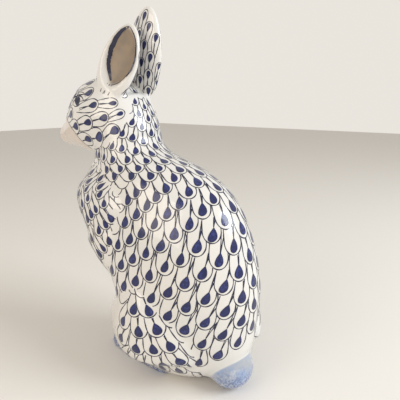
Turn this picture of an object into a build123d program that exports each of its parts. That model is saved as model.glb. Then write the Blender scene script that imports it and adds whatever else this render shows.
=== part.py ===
"""Sitting ceramic rabbit, built from the clay parts that are luted together before firing.

Millimetres. The rabbit faces -Y, its left side is +X, and +Z is up.
The origin is the centre of the flat underside of the trunk.
Rows of shares describe the sections of each form, so that a form follows its few driving sizes.
"""

from math import cos, radians, sin
import os

from build123d import *

# Clay
wall = 6.0
vent_diameter = 3.0
vent_y = 12.0
overrun = 5.0
half_turn = 180

# Trunk
trunk_height = 180.0
trunk_half_width = 54.0
trunk_half_length = 90.0
# Each row: level of the height, centre and then half width, reach forward and reach back
trunk_section_shares = (
    (0.0, 0.01, 0.37, 0.26, 0.41),
    (0.04, 0.01, 0.54, 0.31, 0.56),
    (0.155, 0.0, 0.78, 0.38, 0.84),
    (0.305, -0.01, 0.925, 0.42, 0.93),
    (0.47, -0.055, 0.98, 0.46, 1.0),
    (0.655, -0.155, 0.955, 0.59, 1.02),
    (0.805, -0.265, 0.85, 0.60, 0.93),
    (0.92, -0.38, 0.74, 0.56, 0.64),
    (1.0, -0.465, 0.637, 0.46, 0.375),
)
trunk_tilts = (0, 0, 0, 0, 0, 5, 11, 17, 21)
trunk_cavity_rows = range(1, 9)
floor_wall = trunk_height * trunk_section_shares[1][0]

# Neck seam, a flat joint that rises towards the nape
neck_forward_share = 0.5556
neck_y = -trunk_half_length * neck_forward_share
neck_rise = 17.0
neck_z = trunk_height + neck_rise
neck_tilt = 24
neck_half_width = 30.0
neck_front = 33.0
neck_back = 31.0

# Neck above the seam, up to the back of the skull
nape_rise = 36.0
nape_shift = 3.0
nape_shares = ((0.5, 0.95, 0.88, 0.86), (1.0, 0.80, 0.72, 0.62))

# Head
head_back_shift = 14.0
head_back_y = neck_y + head_back_shift
head_length = 105.0
head_rise = 18.0
head_z = neck_z + head_rise
head_half_width = 32.5
head_half_height = 40.0
# Each row: station from the back, rise of the centre, half width, reach up and reach down
head_section_shares = (
    (0.005, 0.275, 0.18, 0.15, 0.15),
    (0.03, 0.25, 0.5, 0.375, 0.42),
    (0.09, 0.2, 0.755, 0.6, 0.675),
    (0.20, 0.125, 0.94, 0.8, 0.8),
    (0.33, 0.05, 1.0, 0.925, 0.775),
    (0.48, -0.025, 0.95, 1.01, 0.70),
    (0.60, -0.1, 0.845, 1.0, 0.575),
    (0.685, -0.175, 0.74, 0.925, 0.475),
    (0.76, -0.225, 0.63, 0.70, 0.40),
    (0.85, -0.30, 0.52, 0.45, 0.31),
    (0.93, -0.3375, 0.43, 0.325, 0.26),
    (0.98, -0.35, 0.28, 0.21, 0.19),
    (1.0, -0.35, 0.09, 0.075, 0.075),
)

head_cavity_rows = range(2, 11)

# Eyes, low domes on the sides of the head
eye_x = 20.5
eye_forward = 50.0
eye_y = head_back_y - eye_forward
eye_rise = 19.0
eye_z = head_z + eye_rise
eye_radius = 8.5

# Ears: the right one stands taller and more upright than the left
ear_root_rise = 21.0
ear_root_z = head_z + ear_root_rise
left_ear_root_x = 21.0
left_ear_root_shift = 18.0
left_ear_tip_x = 9.0
left_ear_lean = 23.0
left_ear_height = 59.0
left_ear_half_width = 19.0
right_ear_root_x = 19.0
right_ear_root_shift = 17.0
right_ear_tip_x = 7.0
right_ear_lean = 27.5
right_ear_height = 74.0
right_ear_half_width = 23.0
ear_back_thickness = 10.0
ear_lip = 4.0
ear_turn = 8
ear_hollow_depth = 7.0
ear_hollow_centre_share = 0.6
# Each row: station along the ear and width there
ear_section_shares = (
    (0.0, 0.5),
    (0.16, 0.78),
    (0.34, 0.97),
    (0.52, 1.0),
    (0.70, 0.87),
    (0.85, 0.63),
    (0.94, 0.40),
    (0.985, 0.19),
    (1.0, 0.06),
)
ear_hollow_shares = (
    (0.15, 0.1),
    (0.2, 0.36),
    (0.32, 0.62),
    (0.47, 0.78),
    (0.62, 0.78),
    (0.77, 0.62),
    (0.88, 0.36),
    (0.92, 0.1),
)

# Haunches
haunch_front_y = -45.0
haunch_length = 104.0
haunch_out_share = 0.704
haunch_x = trunk_half_width * haunch_out_share
haunch_z = 50.0
haunch_half_width = 22.0
haunch_half_height = 44.0
right_haunch_length = 120.0
right_haunch_outward = 6.0
# Each row: station from the knee, shift outwards, rise, half width, reach up and reach down
haunch_section_shares = (
    (0.0, -0.58, -0.02, 0.09, 0.08, 0.08),
    (0.03, -0.55, -0.02, 0.50, 0.32, 0.36),
    (0.12, -0.43, -0.02, 0.72, 0.58, 0.60),
    (0.25, -0.22, -0.02, 0.90, 0.86, 0.68),
    (0.41, -0.02, 0.0, 1.02, 1.14, 0.68),
    (0.567, 0.04, 0.0, 1.02, 1.12, 0.61),
    (0.70, -0.02, 0.0, 0.84, 0.78, 0.56),
    (0.82, -0.18, -0.04, 0.70, 0.56, 0.47),
    (0.915, -0.48, -0.18, 0.57, 0.42, 0.32),
    (0.975, -0.72, -0.2, 0.32, 0.23, 0.18),
    (1.0, -0.8, -0.2, 0.09, 0.07, 0.07),
)

# Hind feet
foot_toe_y = -68.0
foot_length = 80.0
foot_toe_x = 12.5
foot_heel_x = 20.5
foot_half_width = 8.5
foot_height = 19.0
# Each row: station from the toe, half width and height
foot_section_shares = (
    (0.0, 0.12, 0.14),
    (0.03, 0.48, 0.5),
    (0.12, 0.83, 0.8),
    (0.3, 1.0, 0.93),
    (0.55, 0.98, 1.0),
    (0.8, 0.82, 1.0),
    (0.95, 0.5, 0.75),
    (1.0, 0.12, 0.3),
)

# Forelegs
shoulder_rise = 6.0
foreleg_height = trunk_height + shoulder_rise
foreleg_out_share = 0.5
foreleg_x = trunk_half_width * foreleg_out_share
foreleg_forward_share = 0.467
foreleg_y = -trunk_half_length * foreleg_forward_share
foreleg_half_width = 26.5
foreleg_depth_share = 0.522
foreleg_half_depth = trunk_half_length * foreleg_depth_share
# Each row: level, place out from the middle, place forward, half width, reach forward and reach back
foreleg_section_shares = (
    (0.0, 0.21, 1.1, 0.19, 0.15, 0.15),
    (0.12, 0.24, 1.0, 0.225, 0.17, 0.17),
    (0.25, 0.39, 0.81, 0.34, 0.235, 0.215),
    (0.40, 0.667, 0.667, 0.6, 0.37, 0.34),
    (0.516, 0.89, 0.715, 0.86, 0.42, 0.46),
    (0.63, 1.0, 0.81, 0.98, 0.69, 0.60),
    (0.70, 1.0, 0.857, 0.985, 0.67, 0.72),
    (0.78, 0.965, 0.952, 0.95, 0.89, 0.86),
    (0.833, 0.92, 0.952, 0.905, 0.98, 0.88),
    (0.892, 0.815, 1.0, 0.755, 0.85, 0.6),
    (0.957, 0.70, 1.095, 0.50, 0.64, 0.3),
    (0.995, 0.63, 1.19, 0.2, 0.25, 0.15),
)
foreleg_elbow_row = 5
paw_x = 6.8
paw_toe_y = -59.0
paw_length = 26.0
paw_half_width = 6.3
paw_height = 11.0

# Tail
tail_radius = 19.0
tail_back_share = 0.711
tail_y = trunk_half_length * tail_back_share
tail_z = 20.0


def egg(half_width, low, high, centre=0.0):
    """Closed outline of two half ellipses that share their widest line."""
    with BuildLine() as outline:
        EllipticalCenterArc((0, centre), half_width, high, start_angle=0, arc_size=half_turn)
        EllipticalCenterArc((0, centre), half_width, low, start_angle=half_turn, arc_size=half_turn)
    make_face(outline.edges())


def dome(half_width, height):
    """Half ellipse standing on a straight line."""
    with BuildLine() as outline:
        EllipticalCenterArc((0, 0), half_width, height, start_angle=0, arc_size=half_turn)
        Line((-half_width, 0), (half_width, 0))
    make_face(outline.edges())


def tilted_plane(y, z, tilt):
    """Plane across the body that rises towards the back by the tilt."""
    normal = (0, -sin(radians(tilt)), cos(radians(tilt)))
    return Plane(origin=(0, y, z), x_dir=(1, 0, 0), z_dir=normal)


def cross_plane(x, y, z):
    """Upright plane across the length of the rabbit, with local y up."""
    return Plane(origin=(x, y, z), x_dir=(1, 0, 0), z_dir=(0, -1, 0))


def trunk_plane(row):
    """Plane of one trunk section."""
    level_share, centre_share = trunk_section_shares[row][:2]
    return tilted_plane(trunk_half_length * centre_share, trunk_height * level_share, trunk_tilts[row])


def trunk_section(row, inset=0.0):
    """Outline of one trunk section, drawn in by the inset."""
    width_share, front_share, back_share = trunk_section_shares[row][2:]
    front = trunk_half_length * front_share - inset
    back = trunk_half_length * back_share - inset
    egg(trunk_half_width * width_share - inset, front, back)


def head_plane(row):
    """Plane of one head section."""
    return cross_plane(0, head_back_y - head_length * head_section_shares[row][0], head_z)


def head_section(row, inset=0.0):
    """Outline of one head section, drawn in by the inset."""
    rise_share, width_share, up_share, down_share = head_section_shares[row][1:]
    low = head_half_height * down_share - inset
    high = head_half_height * up_share - inset
    egg(head_half_width * width_share - inset, low, high, head_half_height * rise_share)


neck_plane = tilted_plane(neck_y, neck_z, neck_tilt)

# Outer form of the trunk
with BuildPart() as trunk_form:
    for row in range(len(trunk_section_shares)):
        with BuildSketch(trunk_plane(row)):
            trunk_section(row)
    with BuildSketch(neck_plane):
        egg(neck_half_width, neck_front, neck_back)
    loft()

# Trunk: its wall is left standing, with a firing vent below and an air passage to the head
with BuildPart() as trunk:
    add(trunk_form.part)
    for row in trunk_cavity_rows:
        with BuildSketch(trunk_plane(row)):
            trunk_section(row, wall)
    loft(mode=Mode.SUBTRACT)
    with BuildSketch(Plane.XY):
        with Locations((0, vent_y)):
            Circle(vent_diameter / 2)
    extrude(amount=floor_wall + overrun, mode=Mode.SUBTRACT)
    with BuildSketch(neck_plane):
        Circle(vent_diameter / 2)
    extrude(amount=trunk_height - neck_z - overrun, mode=Mode.SUBTRACT)

# Outer form of the head: skull, upper neck down to the seam, and the domes of the eyes
with BuildPart() as head_form:
    for row in range(len(head_section_shares)):
        with BuildSketch(head_plane(row)):
            head_section(row)
    loft()
    with BuildSketch(neck_plane):
        egg(neck_half_width, neck_front, neck_back)
    for rise_share, width_share, front_share, back_share in nape_shares:
        shift = nape_shift * rise_share
        with BuildSketch(tilted_plane(neck_y - shift, neck_z + nape_rise * rise_share, neck_tilt)):
            egg(neck_half_width * width_share, neck_front * front_share, neck_back * back_share)
    loft()
    with Locations((eye_x, eye_y, eye_z), (-eye_x, eye_y, eye_z)):
        Sphere(eye_radius)
    split(bisect_by=neck_plane, keep=Keep.TOP)

# Cavity of the head, a wall above the seam
with BuildPart() as head_cavity:
    for row in head_cavity_rows:
        with BuildSketch(head_plane(row)):
            head_section(row, wall)
    loft()
    split(bisect_by=neck_plane.offset(wall), keep=Keep.TOP)

# Head
with BuildPart() as head:
    add(head_form.part)
    add(head_cavity.part, mode=Mode.SUBTRACT)
    with BuildSketch(neck_plane):
        Circle(vent_diameter / 2)
    extrude(amount=wall + overrun, mode=Mode.SUBTRACT)


def ear_plane(root, tip, side):
    """Plane across the ear at its root, with local y out of the hollow."""
    up = (Vector(tip) - Vector(root)).normalized()
    out = Vector(side * cos(radians(ear_turn)), sin(radians(ear_turn)), 0)
    return Plane(origin=root, x_dir=out.cross(up), z_dir=up)


def ear_piece(root, tip, half_width, side):
    """One ear: a leaf of clay, hollowed on its outer side and cut to the crown of the head."""
    plane = ear_plane(root, tip, side)
    length = (Vector(tip) - Vector(root)).length
    deepest_share = max(width_share for _, width_share in ear_hollow_shares)
    with BuildPart() as ear:
        for station_share, width_share in ear_section_shares:
            with BuildSketch(plane.offset(length * station_share)):
                egg(half_width * width_share, ear_back_thickness * width_share, ear_lip * width_share)
        loft()
        for station_share, width_share in ear_hollow_shares:
            depth = ear_hollow_depth * width_share / deepest_share
            with BuildSketch(plane.offset(length * station_share)):
                egg(half_width * width_share, depth, ear_lip, ear_lip * ear_hollow_centre_share)
        loft(mode=Mode.SUBTRACT)
        add(head_form.part, mode=Mode.SUBTRACT)
    return ear


def haunch_piece(side, length, outward=0.0):
    """One haunch, from the knee to the rump, cut to the flank."""
    with BuildPart() as haunch:
        for station_share, out_share, rise_share, width_share, up_share, down_share in haunch_section_shares:
            x = haunch_x + haunch_half_width * out_share + outward
            y = haunch_front_y + length * station_share
            z = haunch_z + haunch_half_height * rise_share
            with BuildSketch(cross_plane(side * x, y, z)):
                low = haunch_half_height * down_share
                egg(haunch_half_width * width_share, low, haunch_half_height * up_share)
        loft()
        add(trunk_form.part, mode=Mode.SUBTRACT)
    return haunch


def foot_form(toe_x, heel_x, toe_y, length, half_width, height):
    """Long low foot with a flat sole, from the toe to the heel."""
    sections = []
    for station_share, width_share, height_share in foot_section_shares:
        x = toe_x + (heel_x - toe_x) * station_share
        with BuildSketch(cross_plane(x, toe_y + length * station_share, 0)) as section:
            dome(half_width * width_share, height * height_share)
        sections.append(section.sketch)
    loft(sections)


def hind_foot_piece(side, haunch):
    """One hind foot under its haunch."""
    with BuildPart() as foot:
        foot_form(side * foot_toe_x, side * foot_heel_x, foot_toe_y, foot_length, foot_half_width, foot_height)
        add(trunk_form.part, mode=Mode.SUBTRACT)
        add(haunch.part, mode=Mode.SUBTRACT)
    return foot


def foreleg_piece(side, haunch, foot):
    """One foreleg, lofted below and above the elbow, with its paw, cut to the chest and the hind leg."""
    with BuildPart() as foreleg:
        for rows in (foreleg_section_shares[:foreleg_elbow_row + 1], foreleg_section_shares[foreleg_elbow_row:]):
            for level_share, out_share, forward_share, width_share, front_share, back_share in rows:
                x = side * foreleg_x * out_share
                plane = Plane(origin=(x, foreleg_y * forward_share, foreleg_height * level_share))
                front = foreleg_half_depth * front_share
                with BuildSketch(plane):
                    egg(foreleg_half_width * width_share, front, foreleg_half_depth * back_share)
            loft()
        foot_form(side * paw_x, side * paw_x, paw_toe_y, paw_length, paw_half_width, paw_height)
        add(trunk_form.part, mode=Mode.SUBTRACT)
        add(haunch.part, mode=Mode.SUBTRACT)
        add(foot.part, mode=Mode.SUBTRACT)
    return foreleg


left_ear_root = (left_ear_root_x, head_back_y - left_ear_root_shift, ear_root_z)
left_ear_tip = (left_ear_tip_x, left_ear_root[1] + left_ear_lean, ear_root_z + left_ear_height)
right_ear_root = (-right_ear_root_x, head_back_y - right_ear_root_shift, ear_root_z)
right_ear_tip = (-right_ear_tip_x, right_ear_root[1] + right_ear_lean, ear_root_z + right_ear_height)

left_ear = ear_piece(left_ear_root, left_ear_tip, left_ear_half_width, 1)
right_ear = ear_piece(right_ear_root, right_ear_tip, right_ear_half_width, -1)
left_haunch = haunch_piece(1, haunch_length)
right_haunch = haunch_piece(-1, right_haunch_length, right_haunch_outward)
left_hind_foot = hind_foot_piece(1, left_haunch)
right_hind_foot = hind_foot_piece(-1, right_haunch)
left_foreleg = foreleg_piece(1, left_haunch, left_hind_foot)
right_foreleg = foreleg_piece(-1, right_haunch, right_hind_foot)

# Tail, a ball cut to the rump
with BuildPart() as tail:
    with Locations((0, tail_y, tail_z)):
        Sphere(tail_radius)
    add(trunk_form.part, mode=Mode.SUBTRACT)

pieces = {
    "trunk": trunk,
    "head": head,
    "left_ear": left_ear,
    "right_ear": right_ear,
    "left_haunch": left_haunch,
    "right_haunch": right_haunch,
    "left_hind_foot": left_hind_foot,
    "right_hind_foot": right_hind_foot,
    "left_foreleg": left_foreleg,
    "right_foreleg": right_foreleg,
    "tail": tail,
}

os.makedirs("parts", exist_ok=True)
for name, piece in pieces.items():
    piece.part.label = name
    export_step(piece.part, f"parts/{name}.step")
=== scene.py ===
# Looks of the sitting ceramic rabbit: one smooth glazed body and its hand-painted scales.
# Lengths in the tables are millimetres unless they are shares. mm turns them into metres.
import math
import random

import bpy
import numpy as np
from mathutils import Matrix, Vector
from mathutils.bvhtree import BVHTree


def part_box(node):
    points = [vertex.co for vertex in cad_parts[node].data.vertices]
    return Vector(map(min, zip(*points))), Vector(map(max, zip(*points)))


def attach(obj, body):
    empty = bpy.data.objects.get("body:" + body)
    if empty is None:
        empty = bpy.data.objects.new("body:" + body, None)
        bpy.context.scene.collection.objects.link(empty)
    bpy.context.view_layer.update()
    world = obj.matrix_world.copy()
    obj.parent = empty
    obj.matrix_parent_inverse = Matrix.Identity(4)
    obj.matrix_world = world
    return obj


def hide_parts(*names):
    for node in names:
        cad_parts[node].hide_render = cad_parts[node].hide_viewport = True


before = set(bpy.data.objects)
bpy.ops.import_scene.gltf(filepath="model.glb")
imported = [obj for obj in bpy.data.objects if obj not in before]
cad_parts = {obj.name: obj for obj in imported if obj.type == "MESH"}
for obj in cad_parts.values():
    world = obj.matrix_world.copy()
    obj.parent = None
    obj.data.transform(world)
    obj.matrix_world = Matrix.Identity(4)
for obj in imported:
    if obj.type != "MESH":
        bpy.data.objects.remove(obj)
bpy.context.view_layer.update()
rng = random.Random(7)
mm = 0.001


# small helpers for shaders

def feed(tree, socket, value):
    if isinstance(value, Field):
        tree.links.new(value.socket, socket)
    elif isinstance(value, tuple):
        socket.default_value = (*value, 1.0)
    else:
        socket.default_value = value


def addNode(tree, kind, output, settings=None, inputs=None):
    node = tree.nodes.new(kind)
    for key, value in (settings or {}).items():
        setattr(node, key, value)
    for key, value in (inputs or {}).items():
        feed(tree, node.inputs[key], value)
    return Field(tree, node.outputs[output])


class Field:
    # socket of a shader tree that adds and multiplies like a number

    def __init__(self, tree, socket):
        self.tree = tree
        self.socket = socket

    def math(self, operation, other):
        return addNode(self.tree, "ShaderNodeMath", 0, {"operation": operation}, {0: self, 1: other})

    def __add__(self, other):
        return self.math("ADD", other)

    __radd__ = __add__

    def __mul__(self, other):
        return self.math("MULTIPLY", other)

    __rmul__ = __mul__

    def __rsub__(self, other):
        return self * -1.0 + other

    def ramp(self, low, high):
        return addNode(self.tree, "ShaderNodeMapRange", "Result", {"interpolation_type": "SMOOTHSTEP"},
                       {"Value": self, "From Min": low, "From Max": high})


class Shader:
    # material with a Principled surface, and short ways to its usual nodes

    def __init__(self, name):
        self.material = bpy.data.materials.new(name)
        self.material.use_nodes = True
        self.tree = self.material.node_tree
        self.surface = self.tree.nodes["Principled BSDF"]

    def attribute(self, name):
        return addNode(self.tree, "ShaderNodeAttribute", "Fac", {"attribute_name": name})

    def noise(self, scale, detail=2.0, roughness=0.5):
        place = addNode(self.tree, "ShaderNodeTexCoord", "Object")
        return addNode(self.tree, "ShaderNodeTexNoise", "Fac", None,
                       {"Vector": place, "Scale": scale, "Detail": detail, "Roughness": roughness})

    def mix(self, factor, first, second):
        return addNode(self.tree, "ShaderNodeMix", 2, {"data_type": "RGBA"},
                       {0: factor, 6: first, 7: second})

    def bump(self, height, strength, distance):
        return addNode(self.tree, "ShaderNodeBump", "Normal", None,
                       {"Height": height, "Strength": strength, "Distance": distance})

    def set(self, name, value):
        feed(self.tree, self.surface.inputs[name], value)


# small helpers for meshes

def meshObject(name, points, faces, material=None, normals=None):
    mesh = bpy.data.meshes.new(name)
    mesh.from_pydata([tuple(p) for p in points], [], [tuple(int(i) for i in f) for f in faces])
    if material:
        mesh.materials.append(material)
    mesh.shade_smooth()
    if normals is not None:
        mesh.normals_split_custom_set_from_vertices([tuple(n) for n in normals])
    mesh.update()
    thing = bpy.data.objects.new(name, mesh)
    bpy.context.scene.collection.objects.link(thing)
    return thing


def addAttribute(thing, name, values):
    layer = thing.data.attributes.new(name, "FLOAT", "POINT")
    layer.data.foreach_set("value", np.asarray(values, dtype=np.float32))


def vec(x, y, z):
    return np.array((x, y, z)) * mm


def unit(vector):
    return vector / np.linalg.norm(vector)


def smoothstep(low, high, value):
    t = np.clip((value - low) / (high - low), 0.0, 1.0)
    return t * t * (3 - 2 * t)


# glazes and paints

glaze = {
    "white": (0.80, 0.785, 0.75),
    "pool": (0.70, 0.72, 0.745),
    "taupe": (0.33, 0.25, 0.175),
    "umber": (0.24, 0.20, 0.16),
    "wash": (0.31, 0.41, 0.62),
    "washGrey": (0.42, 0.45, 0.49),
    "washDeep": (0.045, 0.08, 0.28),
    # warm tan for the muzzle: mostly painted warm shade and warm reflected light, partly a real blush
    "blushAndWarmShade": (0.66, 0.52, 0.41),
    "roughness": 0.16,
    "coat": 0.6,
    "coatRoughness": 0.04,
    "ior": 1.5,
    "ripple": 0.12,
    "rippleDepth": 0.6 * mm,
}
paint = {
    "ink": (0.010, 0.012, 0.04),
    "inkWorn": (0.03, 0.04, 0.11),
    "cobalt": (0.007, 0.012, 0.085),
    "cobaltLight": (0.03, 0.05, 0.24),
    "roughness": 0.2,
    "coat": 0.2,
}


def glazed(shader, colour, roughness, coat):
    shader.set("Base Color", colour)
    shader.set("Roughness", roughness)
    shader.set("IOR", glaze["ior"])
    shader.set("Coat Weight", coat)
    shader.set("Coat Roughness", glaze["coatRoughness"])
    shader.set("Coat IOR", glaze["ior"])
    ripple = shader.noise(38.0) * 0.7 + shader.noise(240.0) * 0.3
    shader.set("Normal", shader.bump(ripple, glaze["ripple"], glaze["rippleDepth"]))
    return shader.material


def bodyGlaze():
    shader = Shader("glazed_white")
    hollow, deep, wash = (shader.attribute(name) for name in ("hollow", "deep", "wash"))
    cloud = shader.noise(22.0, 3.0).ramp(0.35, 0.75)
    base = shader.mix(cloud * 0.35, glaze["white"], glaze["pool"])
    greyPatches = shader.noise(48.0, 3.0, 0.6).ramp(0.38, 0.66)
    blue = shader.mix(greyPatches, glaze["wash"], glaze["washGrey"])
    paleFlecks = shader.noise(120.0, 4.0, 0.65).ramp(0.52, 0.78) * 0.75
    blue = shader.mix(paleFlecks, blue, glaze["white"])
    darkFlecks = shader.noise(460.0, 2.0, 0.7).ramp(0.42, 0.56)
    blue = shader.mix(darkFlecks * deep * 0.9, blue, glaze["washDeep"])
    edge = wash * (shader.noise(60.0, 3.0) * 0.5 + 0.8)
    base = shader.mix(edge.ramp(0.0, 1.0), base, blue)
    brown = shader.mix(shader.noise(120.0, 3.0).ramp(0.3, 0.8), glaze["taupe"], glaze["umber"])
    # the muzzle is tinted warm tan: mostly painted warm shade and warm reflected light, partly a real
    # blush
    base = shader.mix(shader.attribute("muzzle") * 0.6, base, glaze["blushAndWarmShade"])
    base = shader.mix(hollow, base, brown)
    return glazed(shader, base, hollow * 0.34 + glaze["roughness"], glaze["coat"] - hollow * 0.45)


def inkPaint():
    shader = Shader("navy_line")
    worn = shader.noise(260.0, 3.0, 0.6).ramp(0.4, 0.8) * 0.5
    colour = shader.mix(worn, paint["ink"], paint["inkWorn"])
    return glazed(shader, colour, paint["roughness"], paint["coat"])


def cobaltPaint():
    shader = Shader("cobalt_drop")
    stroke = shader.noise(420.0, 3.0, 0.65).ramp(0.42, 0.68)
    inner = shader.attribute("inner")
    bright = shader.noise(45.0, 1.0).ramp(0.42, 0.62) * 0.75 + 0.25  # some drops come out darker
    tone = shader.mix(inner * stroke * bright, paint["cobalt"], paint["cobaltLight"])
    colour = shader.mix(inner.ramp(0.0, 0.3), paint["ink"], tone)
    return glazed(shader, colour, paint["roughness"], paint["coat"])


whiteMaterial = bodyGlaze()
inkMaterial = inkPaint()
cobaltMaterial = cobaltPaint()
print("materials made")


# body: the clay parts drawn together into one smooth skin

skin = {
    "voxel": 1.3 * mm,
    "creaseRounds": 20,
    "creaseFill": 0.9,
    "creaseSlide": 0.3,
    "evenRounds": 5,
    "evenIn": 0.5,
    "evenOut": 0.48,
    "sole": 0.6 * mm,
}
stopper = {
    "sides": 12,
    "radius": 2.4,
    "y": 12,
    "low": 2.4,
    "high": 8.5,
}


def gather(names):
    # points and triangles of the named parts, as one set
    points, faces, start = [], [], 0
    for name in names:
        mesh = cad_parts[name].data
        co = np.zeros(len(mesh.vertices) * 3)
        mesh.vertices.foreach_get("co", co)
        points.append(co.reshape(-1, 3))
        mesh.calc_loop_triangles()
        triangles = np.zeros(len(mesh.loop_triangles) * 3, dtype=np.int64)
        mesh.loop_triangles.foreach_get("vertices", triangles)
        faces.append(triangles.reshape(-1, 3) + start)
        start += len(mesh.vertices)
    return np.vstack(points), np.vstack(faces)


def plug():
    # closes the firing vent, so that the skin has no inner side
    sides, radius = stopper["sides"], stopper["radius"]
    turns = np.linspace(0, 2 * math.pi, sides, endpoint=False)
    ring = [(radius * math.cos(a), stopper["y"] + radius * math.sin(a)) for a in turns]
    points = [(x * mm, y * mm, stopper[end] * mm) for end in ("low", "high") for x, y in ring]
    faces = [(i, (i + 1) % sides, (i + 1) % sides + sides, i + sides) for i in range(sides)]
    faces += [tuple(range(sides - 1, -1, -1)), tuple(range(sides, 2 * sides))]
    return points, faces


def remeshed(points, faces):
    # closed skin of even quads around the given triangles
    stopperPoints, stopperFaces = plug()
    faces = [tuple(f) for f in faces] + [tuple(i + len(points) for i in f) for f in stopperFaces]
    rough = meshObject("rough", [tuple(p) for p in points] + stopperPoints, faces)
    remesh = rough.modifiers.new("remesh", "REMESH")
    remesh.mode = "VOXEL"
    remesh.voxel_size = skin["voxel"]
    evaluated = rough.evaluated_get(bpy.context.evaluated_depsgraph_get())
    mesh = bpy.data.meshes.new_from_object(evaluated)
    co = np.zeros(len(mesh.vertices) * 3)
    mesh.vertices.foreach_get("co", co)
    quads = [tuple(p.vertices) for p in mesh.polygons]
    bpy.data.objects.remove(rough)
    bpy.data.meshes.remove(mesh)
    return co.reshape(-1, 3), quads


def edgeArray(quads):
    pairs = set()
    for quad in quads:
        for a, b in zip(quad, quad[1:] + quad[:1]):
            pairs.add((a, b) if a < b else (b, a))
    return np.array(sorted(pairs))


def neighbourMean(values, edges):
    total = np.zeros_like(values)
    count = np.zeros(len(values))
    for a, b in ((0, 1), (1, 0)):
        for axis in range(values.shape[1]):
            total[:, axis] += np.bincount(edges[:, a], values[edges[:, b], axis], len(values))
        count += np.bincount(edges[:, a], minlength=len(values))
    return total / np.maximum(count, 1)[:, None]


def pointNormals(points, quads):
    q = np.array(quads)
    across = np.cross(points[q[:, 2]] - points[q[:, 0]], points[q[:, 3]] - points[q[:, 1]])
    normals = np.zeros_like(points)
    for corner in range(4):
        for axis in range(3):
            normals[:, axis] += np.bincount(q[:, corner], across[:, axis], len(points))
    return normals / np.maximum(np.linalg.norm(normals, axis=1), 1e-12)[:, None]


def softened(points, quads, edges):
    # fills the creases between the parts and evens the skin, without thinning the ears
    start = points.copy()
    sole = start[:, 2] < skin["sole"]
    for turn in range(skin["creaseRounds"]):
        normals = pointNormals(points, quads)
        step = neighbourMean(points, edges) - points
        outward = np.einsum("ij,ij->i", step, normals)
        fill = np.clip(outward, 0, None)[:, None] * normals
        slide = step - outward[:, None] * normals
        points = points + fill * skin["creaseFill"] + slide * skin["creaseSlide"]
        points[sole, 2] = start[sole, 2]
    for turn in range(skin["evenRounds"]):
        points = points + (neighbourMean(points, edges) - points) * skin["evenIn"]
        points = points - (neighbourMean(points, edges) - points) * skin["evenOut"]
    return points


nodeNames = sorted(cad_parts)
skinPoints, skinQuads = remeshed(*gather(nodeNames))
skinEdges = edgeArray(skinQuads)
skinPoints = softened(skinPoints, skinQuads, skinEdges)
skinNormals = pointNormals(skinPoints, skinQuads)
skinTree = BVHTree.FromPolygons([tuple(p) for p in skinPoints], skinQuads)
print("skin", len(skinPoints), "points")


def nodeTree(name):
    points, faces = gather([name])
    return BVHTree.FromPolygons([tuple(p) for p in points], [tuple(f) for f in faces])


trees = {name: nodeTree(name) for name in nodeNames}


def nearestNode():
    # for each quad, the part whose surface it lies on
    boxes = {name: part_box(name) for name in nodeNames}
    owner = []
    for quad in skinQuads:
        centre = Vector(skinPoints[list(quad)].mean(axis=0))
        best, found = 1.0, nodeNames[0]
        for name in nodeNames:
            low, high = boxes[name]
            if any(centre[i] < low[i] - best or centre[i] > high[i] + best for i in range(3)):
                continue
            distance = trees[name].find_nearest(centre)[3]
            if distance is not None and distance < best - 1e-7:
                best, found = distance, name
        owner.append(found)
    return owner


def distanceTo(name, points):
    return np.array([trees[name].find_nearest(Vector(p))[3] for p in points])


owner = nearestNode()
pointNode = np.full(len(skinPoints), "", dtype=object)
for quad, node in zip(skinQuads, owner):
    pointNode[list(quad)] = node
print("skin split")


# ears: places and directions, as the clay ears stand, and the edge of the brown hollow

ears = {
    "left": {"root": (21.0, -54.0, 236.0), "tip": (9.0, -31.0, 295.0), "halfWidth": 19.0, "side": 1},
    "right": {"root": (-19.0, -53.0, 236.0), "tip": (-7.0, -25.5, 310.0), "halfWidth": 23.0, "side": -1},
}
earTurn = math.radians(8)
earHollow = {
    "stations": (0.18, 0.20, 0.28, 0.38, 0.48, 0.62, 0.77, 0.88, 0.94, 0.96),
    "front": (0.0, 0.05, 0.32, 0.58, 0.70, 0.74, 0.63, 0.42, 0.16, 0.0),
    "rear": (0.0, 0.16, 0.48, 0.76, 0.90, 0.88, 0.70, 0.44, 0.14, 0.0),
    "edge": (-0.5, 1.0),
    "facing": (-0.25, 0.05),
    "evenRounds": 3,
}


def earAxes(ear):
    root, tip = Vector(ear["root"]) * mm, Vector(ear["tip"]) * mm
    up = (tip - root).normalized()
    out = Vector((ear["side"] * math.cos(earTurn), math.sin(earTurn), 0))
    across = out.cross(up).normalized()
    out = up.cross(across).normalized()
    return root, up, across, out, (tip - root).length


def rimShare(station, front):
    rim = earHollow["front" if front else "rear"]
    return np.interp(station, earHollow["stations"], rim, left=0, right=0)


def hollowMask(points, normals, nodes):
    mask = np.zeros(len(points))
    for side, ear in ears.items():
        root, up, across, out, length = (np.array(a) for a in earAxes(ear))
        station = (points - root) @ up / length
        share = (points - root) @ across / (ear["halfWidth"] * mm) * ear["side"]
        reach = np.where(share > 0, rimShare(station, True), rimShare(station, False))
        inside = smoothstep(*earHollow["edge"], (reach - np.abs(share)) * ear["halfWidth"])
        facing = smoothstep(*earHollow["facing"], normals @ out)
        near = (nodes == side + "_ear") & (reach > 0)
        mask = np.maximum(mask, inside * facing * near)
    for turn in range(earHollow["evenRounds"]):
        mask = neighbourMean(mask[:, None], skinEdges)[:, 0]
    return mask


# head: its long axis, the end of its field of scales and the edge of the plain muzzle

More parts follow.
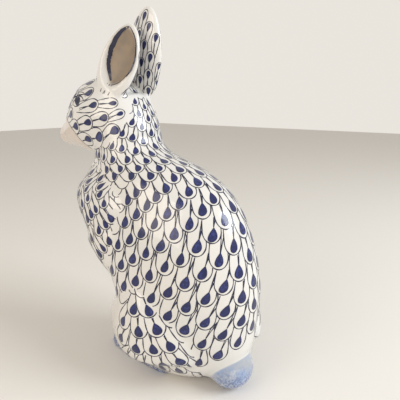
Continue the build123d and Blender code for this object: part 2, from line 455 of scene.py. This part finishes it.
head = {
    "nose": (0.0, -138.0, 203.0),
    "back": (0.0, -38.0, 226.0),
    "endAngles": (0, 115, 130, 145, 180),
    "ends": (1.07, 1.06, 0.99, 0.90, 0.85),
    "muzzleAngles": (0, 50, 73, 101, 132, 180),
    "muzzleStations": (0.24, 0.27, 0.34, 0.49, 0.55, 0.58),
}
headStart, headEnd = vec(*head["nose"]), vec(*head["back"])
headLine = headEnd - headStart
headAxis = unit(headLine)


def muzzleStation(angle):
    return np.interp(math.degrees(abs(angle)), head["muzzleAngles"], head["muzzleStations"])


def headStation(place):
    # station from the nose to the back of the skull, and angle round the head from the top
    station = float((place - headStart) @ headLine / (headLine @ headLine))
    offset = place - (headStart + headLine * station)
    return station, math.atan2(offset[0], -offset[1] * headAxis[2] + offset[2] * headAxis[1])


def muzzleMask(points, nodes):
    mask = np.zeros(len(points))
    for i in np.nonzero(nodes == "head")[0]:
        station, angle = headStation(points[i])
        mask[i] = 1 - smoothstep(-0.03, 0.01, station - muzzleStation(angle))
    return mask


# tail and feet carry a blue wash that fades into the white

tailWash = {
    "centre": (0, 64, 20),
    "edge": (19.6, 21.5),
    "paler": 0.45,
    "palerFrom": (54, 70),
}
footWash = {"edge": (5.0, 9.5)}
deepWash = {"low": 3, "height": 30}


def washMask(points):
    away = np.linalg.norm(points - vec(*tailWash["centre"]), axis=1) / mm
    behind = smoothstep(*tailWash["palerFrom"], points[:, 1] / mm)
    strength = tailWash["paler"] + (1 - tailWash["paler"]) * behind
    wash = (1 - smoothstep(*tailWash["edge"], away)) * strength
    for side, name in ((-1, "right_hind_foot"), (1, "left_hind_foot")):
        low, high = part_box(name)
        near = (points[:, 0] * side > 0) & (points[:, 2] < high.z) & (points[:, 1] < high.y)
        index = np.nonzero(near)[0]
        gap = distanceTo(name, points[index]) / mm
        wash[index] = np.maximum(wash[index], 1 - smoothstep(*footWash["edge"], gap))
    return wash


hollow = hollowMask(skinPoints, skinNormals, pointNode)
wash = washMask(skinPoints)
heightShare = (skinPoints[:, 2] / mm - deepWash["low"]) / deepWash["height"]
deep = smoothstep(0, 1, 1 - heightShare) * wash
muzzle = muzzleMask(skinPoints, pointNode)


def skinPiece(name):
    # part of the skin that stands for one clay part
    chosen = [quad for quad, node in zip(skinQuads, owner) if node == name]
    used = sorted({i for quad in chosen for i in quad})
    place = {old: new for new, old in enumerate(used)}
    faces = [tuple(place[i] for i in quad) for quad in chosen]
    piece = meshObject(name + "_glazed", skinPoints[used], faces, whiteMaterial, skinNormals[used])
    for label, values in (("hollow", hollow), ("wash", wash), ("deep", deep), ("muzzle", muzzle)):
        addAttribute(piece, label, values[used])
    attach(piece, "root")
    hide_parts(name)


for name in nodeNames:
    skinPiece(name)
print("skin pieces made")


# painted scales: where a place on the skin lies, and which field of scales paints it

fields = {
    "thighTop": 62,
    "thighFront": -38,
    "thighRear": 42,
    "thighSlant": 0.26,
    "thighInside": 12,
    "chestRear": -42,
    "chestTop": 176,
    "washFrom": 0.4,
    "hollowFrom": 0.3,
}


def onSkin(point):
    place, flat, index, distance = skinTree.find_nearest(Vector(point))
    return np.array(place), unit(skinNormals[list(skinQuads[index])].mean(axis=0)), index


def hit(origin, direction):
    found = skinTree.ray_cast(Vector(origin), Vector(direction))
    return None if found[0] is None else np.array(found[0])


def lowFlank(x, y, z):
    rear = fields["thighRear"] + (fields["thighTop"] - z) * fields["thighSlant"]
    return z < fields["thighTop"] and fields["thighFront"] < y < rear and abs(x) > fields["thighInside"]


def fieldOf(place, index):
    x, y, z = place / mm
    name = owner[index]
    if wash[skinQuads[index][0]] > fields["washFrom"]:
        return "wash"
    if "haunch" in name or name == "trunk" and lowFlank(x, y, z):
        return "left_haunch" if x > 0 else "right_haunch"
    if "foreleg" in name:
        return "chest"
    if name == "trunk":
        return "chest" if y < fields["chestRear"] and z < fields["chestTop"] else "back"
    if name == "head":
        station, angle = headStation(place)
        if station < muzzleStation(angle):
            return "muzzle"
        end = np.interp(math.degrees(abs(angle)), head["endAngles"], head["ends"])
        return "head" if station < end else "back"
    if "ear" in name and hollow[list(skinQuads[index])].mean() > fields["hollowFrom"]:
        return "hollow"
    return name


def inField(field, spots):
    return field in [fieldOf(place, index) for place, normal, index in spots]


# one scale, drawn in shares of its width across and of its rise upwards

scaleShape = {
    "line": 0.40,
    "lineLift": 0.10 * mm,
    "fullWidth": 14,
    "bulb": 0.47,
    "top": 1.75,
    "narrowing": 0.55,
    "stemLow": 0.62,
    "stemTop": 1.45,
    "stemSplit": 0.10,
    "skewFrom": 0.25,
    "shortest": 5,
}
dropShape = {
    "lift": 0.16 * mm,
    "halfWidth": 0.235,
    "middle": 0.25,
    "below": 0.165,
    "above": 0.41,
    "taper": 1.25,
    "core": 0.68,
    "coreMiddle": 0.30,
    "coreHeight": 0.62,
}


def scaleOutline():
    points, bulb = [], scaleShape["bulb"]
    for t in np.linspace(-math.pi, 0, 15):
        points.append((0.5 * math.cos(t), bulb + bulb * math.sin(t)))
    for t in np.linspace(0.12, 1.0, 8):
        rise = bulb + (scaleShape["top"] - bulb) * t
        points.append((0.5 * (1 - scaleShape["narrowing"] * t ** 1.6), rise))
    return [(-a, b) for a, b in reversed(points[15:])] + points


def dropOutline():
    points, half, middle = [], dropShape["halfWidth"], dropShape["middle"]
    for t in np.linspace(-math.pi, 0.0, 11):
        points.append((half * math.cos(t), middle + dropShape["below"] * math.sin(t)))
    for t in np.linspace(0.12, 1.0, 8):
        narrow = (1 - t) ** dropShape["taper"] * (1 + 1.25 * t)
        points.append((half * narrow, middle + dropShape["above"] * t))
    return points + [(-a, b) for a, b in reversed(points[11:-1])]


def densify(shape, step):
    pts = [np.array(p) for p in shape]
    fine = [pts[0]]
    for p, q in zip(pts, pts[1:]):
        parts = max(1, int(math.ceil(np.linalg.norm(q - p) / step)))
        fine += [p + (q - p) * k / parts for k in range(1, parts + 1)]
    return fine


outlineShape = scaleOutline()
outlineArray = np.array(outlineShape)
fineOutline = densify(outlineShape, 0.06)
fineDrop = dropOutline()


def insideShape(a, b):
    # crossing test against the outline, for many points at once
    inside = np.zeros(len(a), dtype=bool)
    px, py = outlineArray[:, 0], outlineArray[:, 1]
    for i in range(len(px)):
        j = i - 1
        crosses = (py[i] > b) != (py[j] > b)
        edge = (px[j] - px[i]) * (b - py[i]) / (py[j] - py[i] + 1e-12) + px[i]
        inside ^= crosses & (a < edge)
    return inside


class Scale:
    def __init__(self, field, bottom, up, across, width, rise, skew=0.0):
        self.field = field
        self.bottom = bottom
        self.up = unit(up)
        self.across = unit(across - self.up * (across @ self.up))
        self.width = width
        self.rise = rise
        self.skew = skew + rng.uniform(-0.07, 0.07)
        self.tilt = rng.uniform(-0.06, 0.06)
        self.middle = bottom + self.up * (0.85 * rise)
        self.reach = 0.92 * rise + 0.3 * width

    def at(self, a, b):
        lean = self.tilt * b * self.rise
        side = self.across * (a * self.width + lean)
        return onSkin(self.bottom + side + self.up * (b * self.rise))

    def covers(self, points):
        rel = points - self.bottom
        b = rel @ self.up / self.rise
        a = (rel @ self.across - self.tilt * b * self.rise) / self.width
        off = np.abs(rel @ np.cross(self.across, self.up))
        inside = (np.abs(a) < 0.5) & (b > 0) & (b < scaleShape["top"]) & (off < 0.9 * self.width)
        if inside.any():
            inside[inside] = insideShape(a[inside], b[inside])
        return inside

    def visible(self, spots, over):
        # spots of this scale's own field that none of the scales above covers
        points = np.array([place for place, normal, index in spots])
        hidden = np.zeros(len(points), dtype=bool)
        for other in over:
            hidden |= other.covers(points)
        own = np.array([fieldOf(place, index) == self.field for place, normal, index in spots])
        return own & ~hidden


class Painting:
    # strokes and patches of one paint, lying on the skin

    def __init__(self, name, material, lift):
        self.name, self.material, self.lift = name, material, lift
        self.points, self.normals, self.faces, self.inner = [], [], [], []

    def dab(self, place, normal, inner):
        self.points.append(place)
        self.normals.append(normal)
        self.inner.append(inner)

    def ribbon(self, spots, halfWidths):
        start, count = len(self.points), len(spots)
        places = [place for place, normal, index in spots]
        for i, (place, normal, index) in enumerate(spots):
            ahead = places[min(i + 1, count - 1)] - places[max(i - 1, 0)]
            side = np.cross(normal, ahead)
            side /= max(np.linalg.norm(side), 1e-9)
            for sign in (-1, 1):
                self.dab(place + side * halfWidths[i] * sign + normal * self.lift, normal, 0.0)
        for i in range(count - 1):
            k = start + 2 * i
            self.faces.append((k, k + 2, k + 3, k + 1))

    def patch(self, rim, core):
        start, count = len(self.points), len(rim)
        middle = onSkin(np.mean([spot[0] for spot in core], axis=0))
        turns = [np.cross(rim[i - 1][0] - middle[0], rim[i][0] - middle[0]) for i in range(count)]
        if sum(turns) @ middle[1] < 0:  # keeps the faces outward
            rim, core = rim[::-1], core[::-1]
        for ring, inner in ((rim, 0.0), (core, 1.0), ([middle], 1.0)):
            for place, normal, index in ring:
                self.dab(place + normal * self.lift, normal, inner)
        for i in range(count):
            j = (i + 1) % count
            self.faces.append((start + i, start + j, start + count + j, start + count + i))
            self.faces.append((start + count + i, start + count + j, start + 2 * count))

    def finish(self):
        piece = meshObject(self.name, self.points, self.faces, self.material, self.normals)
        addAttribute(piece, "inner", self.inner)
        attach(piece, "root")
        print(self.name, len(self.faces), "faces")


def runsOf(shown, least):
    # unbroken runs of shown points, at least so many points long
    runs, run = [], []
    for i, ok in enumerate(list(shown) + [False]):
        if ok:
            run.append(i)
        else:
            if len(run) >= least:
                runs.append(run)
            run = []
    return runs


def paintLines(lines, scale, over):
    shape, skew = scaleShape, scale.skew
    thin = min(1.0, 0.4 + 0.6 * scale.width / (shape["fullWidth"] * mm))  # finer on small scales
    half = shape["line"] * mm * thin
    drawn = [(fineOutline, shape["shortest"])]
    for sign in (-1, 1):
        stem = []
        for t in np.linspace(shape["stemLow"], shape["stemTop"], 14):
            apart = sign * shape["stemSplit"] * (t - shape["stemLow"])
            stem.append((skew * (t - shape["skewFrom"]) + apart, t))
        drawn.append((stem, 2))
    for line, least in drawn:
        spots = [scale.at(a, b) for a, b in line]
        for run in runsOf(scale.visible(spots, over), least):
            widths = [half * (1 + 0.25 * math.sin(0.5 * i + scale.tilt * 40)) for i in run]
            lines.ribbon([spots[i] for i in run], widths)


def paintDrop(drops, scale, over):
    shape = dropShape
    sink, grow = rng.uniform(-0.04, 0.05), rng.uniform(0.88, 1.14)
    low = shape["coreMiddle"] + sink
    rim = [(a * grow + scale.skew * (b - scaleShape["skewFrom"]), b + sink) for a, b in fineDrop]
    core = [(a * shape["core"], low + (b - low) * shape["coreHeight"]) for a, b in rim]
    spots = [scale.at(a, b) for a, b in rim]
    if scale.visible(spots, over).mean() > 0.7:
        drops.patch(spots, [scale.at(a, b) for a, b in core])


def paintScales(scales):
    lines = Painting("scale_lines", inkMaterial, scaleShape["lineLift"])
    drops = Painting("scale_drops", cobaltMaterial, dropShape["lift"])
    middles = np.array([s.middle for s in scales])
    reaches = np.array([s.reach for s in scales])
    for number, scale in enumerate(scales):
        away = np.linalg.norm(middles[:number] - scale.middle, axis=1)
        near = np.nonzero(away < scale.reach + reaches[:number])[0]
        over = [scales[i] for i in near if scales[i].field == scale.field]
        paintLines(lines, scale, over)
        paintDrop(drops, scale, over)
    lines.finish()
    drops.finish()


# lattices: a point function turns a row and a column into a place on the skin

def ringCast(table):
    def cast(level, angle):
        y, z, tilt = (np.interp(level, table["levels"], table[key]) for key in ("y", "z", "tilt"))
        tilt, angle = math.radians(tilt), math.radians(table["seam"]) + angle
        ahead = math.cos(angle)
        return hit(vec(0, y, z), (math.sin(angle), ahead * math.cos(tilt), ahead * math.sin(tilt)))
    return cast


def earCast(name, ear):
    root, up, across, out, length = earAxes(ear)
    far = 60 * mm

    def cast(station, angle):
        direction = across * math.sin(angle) - out * math.cos(angle)
        start = root + up * (length * station) + direction * far
        found = trees[name].ray_cast(start, -direction, far)
        return None if found[0] is None else np.array(found[0])
    return cast


def arcPoint(cast, levels, pitches, reach):
    # columns one pitch apart along the skin, to both sides of the seam
    known = {}

    def arc(level, side):
        key = (round(level, 4), side)
        if key not in known:
            turns = np.linspace(0, math.radians(reach), 51)
            found = [(a, cast(level, side * a)) for a in turns]
            found = [(a, place) for a, place in found if place is not None]
            steps = [np.linalg.norm(q[1] - p[1]) for p, q in zip(found, found[1:])]
            known[key] = np.cumsum([0.0] + steps), [a for a, place in found]
        return known[key]

    def point(level, column):
        side = -1 if column < 0 else 1
        reached, angles = arc(level, side)
        goal = abs(column) * np.interp(level, levels, pitches) * mm
        return cast(level, side * np.interp(goal, reached, angles)) if goal < reached[-1] else None
    return point


def headPoint(station, angle):
    direction = (math.sin(angle), -headAxis[2] * math.cos(angle), headAxis[1] * math.cos(angle))
    return hit(headStart + headLine * station, direction)


rowSteps = {
    "closest": 5.6,
    "step": 0.01,
}


def meanGap(pairs):
    gaps = [np.linalg.norm(p - q) for p, q in pairs if p is not None and q is not None]
    return np.mean(gaps) if gaps else None


def evenRows(point, start, end, width, share, angles):
    # rows a share of a scale's width apart along the skin
    rows, level = [start], start
    direction = 1 if end > start else -1
    stride = rowSteps["step"] * direction * max(1.0, abs(end - start) / 4)
    while (end - level) * direction > 0:
        here = [point(level, a) for a in angles]
        wide = meanGap([(point(level, a - width / 2), point(level, a + width / 2)) for a in angles])
        if wide is None:
            return rows
        goal, travelled = max(share * wide, rowSteps["closest"] * mm), 0.0
        while travelled < goal and (end - level) * direction > 0:
            level += stride
            travelled = meanGap(zip(here, [point(level, a) for a in angles]))
            if travelled is None:
                return rows
        rows.append(level)
    return rows


scaleLimits = {
    "width": (3.5, 24),
    "rise": (6, 40),
    "ratio": (1.15, 1.7),
    "lowest": 5,
}


def latticeScales(field, point, rows, width, high, lean=0.0, fringe=True):
    # rows two columns wide and half a scale apart, so neighbours stand half a scale lower
    scales = []
    for number, level in enumerate(rows):
        columns = np.arange(0.5 * width * (number % 2), high, width)
        for side in (1, -1):
            for column in columns:
                if side < 0 and (column < 0.1 * width or column > high - 0.1 * width):
                    continue  # the seam and the far end belong to the first side
                around = side * column
                above = point(rows[max(number - 1, 0)], around)
                below = point(rows[min(number + 1, len(rows) - 1)], around)
                left, right = point(level, around - width / 4), point(level, around + width / 4)
                here = point(level, around)
                if any(p is None for p in (above, below, left, right, here)):
                    continue
                spans = 2 if 0 < number < len(rows) - 1 else 1
                rise = 2 * np.linalg.norm(above - below) / spans
                wide = 1.02 * np.linalg.norm(right - left)
                limits = ((wide, scaleLimits["width"]), (rise, scaleLimits["rise"]))
                if not all(least * mm < size < most * mm for size, (least, most) in limits):
                    continue
                spots = [onSkin(here)]
                if fringe:
                    spots += [onSkin(here + 0.9 * (above - here)), onSkin(left), onSkin(right)]
                place = spots[0][0]
                if not inField(field, spots) or place[2] < scaleLimits["lowest"] * mm:
                    continue
                leaning = -side * lean * min(1.0, column / width)
                across = unit(right - left)
                up = unit(above - below) + across * leaning * 0.6
                low, tall = scaleLimits["ratio"]
                rise = min(max(rise, low * wide), tall * wide)
                scales.append(Scale(field, place, up, across, wide, rise, leaning))
    return scales


# head: scales point from the muzzle back to the ears, and stay clear of the eyes

headField = {
    "width": math.radians(48),
    "start": 0.30,
    "end": 1.08,
    "share": 0.31,
    "eye": (-78, 233),
    "eyeClear": 9,
}
headRows = evenRows(headPoint, headField["start"], headField["end"], headField["width"],
                    headField["share"], [math.radians(a) for a in (60, 90)])
headScales = latticeScales("head", headPoint, headRows, headField["width"], math.pi, 0.0, False)
painted = [s for s in headScales
           if np.linalg.norm(s.bottom[1:] / mm - np.array(headField["eye"])) > headField["eyeClear"]]
print("head scales", len(painted))


# ears: scales point to the tips, all round but for the hollow

earField = {
    "pitch": 8.6,
    "reach": 125,
    "start": 0.06,
    "row": 7.2,
    "columns": 6,
}
for side, ear in ears.items():
    name = side + "_ear"
    pitches = (earField["pitch"], earField["pitch"])
    point = arcPoint(earCast(name, ear), (0, 1), pitches, earField["reach"])
    rows = np.arange(earField["start"], 1.0, earField["row"] * mm / earAxes(ear)[4])
    found = latticeScales(name, point, rows, 2, earField["columns"])
    print(name, "scales", len(found))
    painted += found


# neck, back and flanks: rows slant down towards the tail, columns lean towards the spine

backTable = {
    "levels": (0, 1, 2, 3, 4, 5, 6, 7, 8, 9),
    "y": (8, 10, 12, 10, 4, -8, -22, -38, -50, -56),
    "z": (4, 28, 56, 84, 112, 138, 162, 182, 205, 226),
    "tilt": (-4, -5, -6, -6, -4, 4, 14, 26, 32, 26),
    "pitch": (13.5, 14, 14.5, 14.5, 14.5, 14, 12.5, 10.5, 8.5, 8),
    "seam": 0,
    "reach": 150,
    "lean": 0.28,
    "tailClear": 29,
}
backPoint = arcPoint(ringCast(backTable), backTable["levels"], backTable["pitch"], backTable["reach"])
backRows = evenRows(backPoint, 8.9, 0.1, 2, 0.32, (1, 3, 5))
backScales = latticeScales("back", backPoint, backRows, 2, 16, backTable["lean"])
painted += [s for s in backScales
            if np.linalg.norm(s.bottom / mm - np.array(tailWash["centre"])) > backTable["tailClear"]]
print("back scales", len(backScales))


# chest and forelegs: level rows of narrower scales

chestTable = {
    "levels": (0, 1, 2, 3, 4, 5, 6, 7),
    "y": (-28, -24, -20, -20, -22, -28, -38, -44),
    "z": (6, 34, 60, 86, 112, 138, 164, 186),
    "tilt": (0, 0, 0, 4, 4, 0, -6, -12),
    "pitch": (10, 10, 10.5, 11, 11, 11, 10, 9),
    "seam": 180,
    "reach": 150,
}
chestPoint = arcPoint(ringCast(chestTable), chestTable["levels"], chestTable["pitch"], chestTable["reach"])
chestRows = evenRows(chestPoint, 6.8, 0.1, 2, 0.36, (2, 4))
chestScales = latticeScales("chest", chestPoint, chestRows, 2, 16)
painted += chestScales
print("chest scales", len(chestScales))


# haunches: scales fan out from the top of the knee

haunchFan = {
    "facing": 35.0,
    "top": (-20.0, 101.0),
    "rows": (15.0, 30.0, 45.5, 61.0, 76.5, 92.0, 107.0),
    "width": 16.5,
    "widest": 15.5,
    "rise": 17.5,
    "start": -25.0,
    "end": -175.0,
    "lowest": 4,
}


def haunchPoint(side):
    facing = math.radians(haunchFan["facing"])
    outward = np.array((side * math.cos(facing), math.sin(facing), 0))
    along = np.array((-side * math.sin(facing), math.cos(facing), 0))
    front, top = haunchFan["top"]

    def point(distance, angle):
        spot = along * (front + distance * math.cos(angle))
        spot[2] = top + distance * math.sin(angle)
        return hit((spot + outward * 150) * mm, -outward)
    return point


for side, name in ((1, "left_haunch"), (-1, "right_haunch")):
    point, found = haunchPoint(side), []
    for number, distance in enumerate(haunchFan["rows"]):
        start, end = math.radians(haunchFan["start"]), math.radians(haunchFan["end"])
        count = max(3, round((start - end) * distance / haunchFan["width"]))
        step = (end - start) / count
        for column in range(count + 1):
            angle = start + step * (column + 0.5 * (number % 2))
            here, above = point(distance, angle), point(distance - 8, angle)
            left, right = point(distance, angle - step / 2), point(distance, angle + step / 2)
            if any(p is None for p in (here, above, left, right)):
                continue
            spots = [onSkin(p) for p in (here, here + 0.9 * (above - here), left, right)]
            place = spots[0][0]
            if not inField(name, spots) or place[2] < haunchFan["lowest"] * mm:
                continue
            across = (right - left) * side
            wide = min(np.linalg.norm(across), haunchFan["widest"] * mm)
            found.append(Scale(name, place, above - here, across, wide, haunchFan["rise"] * mm))
    print(name, "scales", len(found))
    painted += found

paintScales(painted)


# drawn lines: ear rims, eyes and muzzle

drawing = {
    "lift": 0.12 * mm,
    "frontRim": {"front": True, "inset": 1.8, "low": 0.24, "high": 0.95, "half": 2.1},
    "rearRim": {"front": False, "inset": 0.6, "low": 0.19, "high": 0.95, "half": 0.8},
    "muzzleHalf": 0.4,
    "muzzleTurn": 2.8,
    "muzzleInset": 0.01,
}
eye = {
    "lines": (
        (0.55, ((-91, 232), (-88, 236.5), (-84, 238.5), (-79, 238), (-74, 234.5))),
        (0.4, ((-90, 231), (-86, 229.3), (-81, 229.6), (-76, 232.5))),
        (0.35, ((-92, 236), (-88, 240.5), (-83, 242), (-78, 241), (-73, 237.5))),
    ),
    "pupil": (-82.5, 233.8),
    "halfLength": 3.2,
    "halfHeight": 3.9,
    "lift": 0.14 * mm,
}
outside = 60  # beyond the widest part of the head, where rays towards it start
strokes = Painting("drawn_lines", inkMaterial, drawing["lift"])


def stroke(places, half, taper=0.25):
    for turn in range(3):
        inner = [(p + 2 * q + r) / 4 for p, q, r in zip(places, places[1:], places[2:])]
        places = [places[0]] + inner + [places[-1]]
    count = len(places)
    swell = [math.sin(math.pi * (i + 0.5) / count) ** 0.6 for i in range(count)]
    strokes.ribbon([onSkin(p) for p in places], [half * mm * (taper + (1 - taper) * s) for s in swell])


def earLine(ear, line):
    root, up, across, out, length = earAxes(ear)
    places = []
    for station in np.linspace(line["low"], line["high"], 40):
        reach = max(rimShare(station, line["front"]) * ear["halfWidth"] - line["inset"], 0)
        reach *= (1 if line["front"] else -1) * ear["side"]
        start = root + up * (length * station) + across * (reach * mm) + out * 0.03
        found = skinTree.ray_cast(start, -out, 0.06)
        if found[0] is not None:
            places.append(np.array(found[0]))
    stroke(places, line["half"])


def sideStroke(side, shape, half, count=24):
    ys, zs = [p[0] for p in shape], [p[1] for p in shape]
    places = []
    for s in np.linspace(0, len(shape) - 1, count):
        y, z = np.interp(s, range(len(shape)), ys), np.interp(s, range(len(shape)), zs)
        found = hit(vec(side * outside, y, z), (-side, 0, 0))
        if found is not None:
            places.append(found)
    stroke(places, half)


def muzzleLine():
    places = []
    for angle in np.linspace(-drawing["muzzleTurn"], drawing["muzzleTurn"], 90):
        place = headPoint(muzzleStation(angle) - drawing["muzzleInset"], angle)
        if place is not None:
            places.append(place)
    stroke(places, drawing["muzzleHalf"], 0.5)


for ear in ears.values():
    earLine(ear, drawing["frontRim"])
    earLine(ear, drawing["rearRim"])
for side in (1, -1):
    for half, shape in eye["lines"]:
        sideStroke(side, shape, half)
muzzleLine()
strokes.finish()

pupils = Painting("pupils", inkMaterial, eye["lift"])
for side in (1, -1):
    rim, core = [], []
    for t in np.linspace(0, 2 * math.pi, 20, endpoint=False):
        for ring, size in ((rim, 1.0), (core, 0.5)):
            y = eye["pupil"][0] + eye["halfLength"] * size * math.cos(t)
            z = eye["pupil"][1] + eye["halfHeight"] * size * math.sin(t)
            ring.append(onSkin(hit(vec(side * outside, y, z), (-side, 0, 0))))
    pupils.patch(rim, core)
pupils.finish()


# stage: a plain pale floor, and a world that is paler where the camera and the glaze see it

stage = {
    "floor": (0.85, 0.825, 0.785),
    "floorRoughness": 0.75,
    "floorReach": 3,  # metres
    "world": (0.93, 0.885, 0.82),
    "strength": 0.6,
    "seenMore": 0.28,
}
floorShader = Shader("pale_floor")
floorShader.set("Base Color", stage["floor"])
floorShader.set("Roughness", stage["floorRoughness"])
reach = stage["floorReach"]
corners = [(-reach, -reach, 0), (reach, -reach, 0), (reach, reach, 0), (-reach, reach, 0)]
floor = meshObject("floor", corners, [(0, 1, 2, 3)], floorShader.material)

world = bpy.data.worlds.new("room")
bpy.context.scene.world = world
world.use_nodes = True
background = world.node_tree.nodes["Background"]
feed(world.node_tree, background.inputs["Color"], stage["world"])
camera, glossy, through = (addNode(world.node_tree, "ShaderNodeLightPath", "Is %s Ray" % kind)
                           for kind in ("Camera", "Glossy", "Transmission"))
seen = camera.math("MAXIMUM", glossy.math("MAXIMUM", through))
feed(world.node_tree, background.inputs["Strength"], seen * stage["seenMore"] + stage["strength"])


# lamps: a cool window behind the right side, and a warm room on the left, in metres and watts

lamps = {
    "window": {"place": (-0.35, 1.2, 0.9), "size": (0.8, 0.6), "power": 14.5, "colour": (0.93, 0.97, 1.0)},
    "roomFill": {"place": (1.2, -0.2, 0.7), "size": (0.9, 0.9), "power": 5.6, "colour": (1.0, 0.88, 0.75)},
}
lampAim = Vector((0, 0, 0.15))


def placed(name, data, place, direction):
    thing = bpy.data.objects.new(name, data)
    thing.location = place
    thing.rotation_euler = direction.to_track_quat("-Z", "Y").to_euler()
    bpy.context.scene.collection.objects.link(thing)
    return thing


for name, lamp in lamps.items():
    light = bpy.data.lights.new(name, "AREA")
    light.shape = "RECTANGLE"
    light.size, light.size_y = lamp["size"]
    light.energy = lamp["power"]
    light.color = lamp["colour"]
    placed(name, light, lamp["place"], lampAim - Vector(lamp["place"]))


# camera: behind the left side and a little above, in metres

view = {
    "place": (0.2603, 0.2348, 0.235),
    "heading": math.radians(52.0),
    "pitch": math.radians(13.4),
    "lens": 37.8,
    "sensor": 36.0,
    "clipStart": 0.01,
}
lens = bpy.data.cameras.new("camera")
lens.lens = view["lens"]
lens.sensor_width = view["sensor"]
lens.sensor_fit = "HORIZONTAL"
lens.clip_start = view["clipStart"]
heading, pitch = view["heading"], view["pitch"]
flat = math.cos(pitch)
aim = Vector((-math.sin(heading) * flat, -math.cos(heading) * flat, -math.sin(pitch)))
bpy.context.scene.camera = placed("camera", lens, view["place"], aim)
bpy.context.scene.view_settings.view_transform = "Standard"
